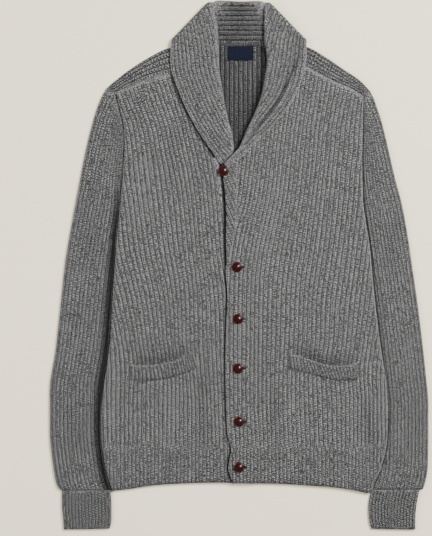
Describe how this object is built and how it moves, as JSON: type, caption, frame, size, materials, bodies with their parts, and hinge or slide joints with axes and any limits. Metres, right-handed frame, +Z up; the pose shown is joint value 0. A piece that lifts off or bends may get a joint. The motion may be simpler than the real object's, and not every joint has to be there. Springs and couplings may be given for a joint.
{
  "type": "shawl collar cardigan",
  "caption": "Knitted cardigan laid flat on its back, with a shawl collar, domed buttons, two welt pockets, saddle shoulders and ribbed cuffs.",
  "frame": {"origin": "on the surface that the cardigan lies on, below the centre of its outline", "axes": "+X across the chest towards the wearer's left, +Y from the hem to the collar, +Z up from the surface, the way the fronts face"},
  "size_m": [0.6075, 0.8426, 0.0215],
  "materials": {
    "knit": "matt grey marl rib knit",
    "button": "glossy dark red-brown",
    "label": "bare navy satin weave"
  },
  "bodies": {
    "root": {"back": "knit", "right_front": "knit", "left_front": "knit", "right_sleeve": "knit", "left_sleeve": "knit", "right_cuff": "knit", "left_cuff": "knit", "right_saddle": "knit", "left_saddle": "knit", "collar": "knit", "left_collar_end": "knit", "right_collar_end": "knit", "right_pocket_welt": "knit", "left_pocket_welt": "knit", "button_1": "button", "button_2": "button", "button_3": "button", "button_4": "button", "button_5": "button", "button_6": "button", "neck_label": "label"}
  },
  "joints": []
}
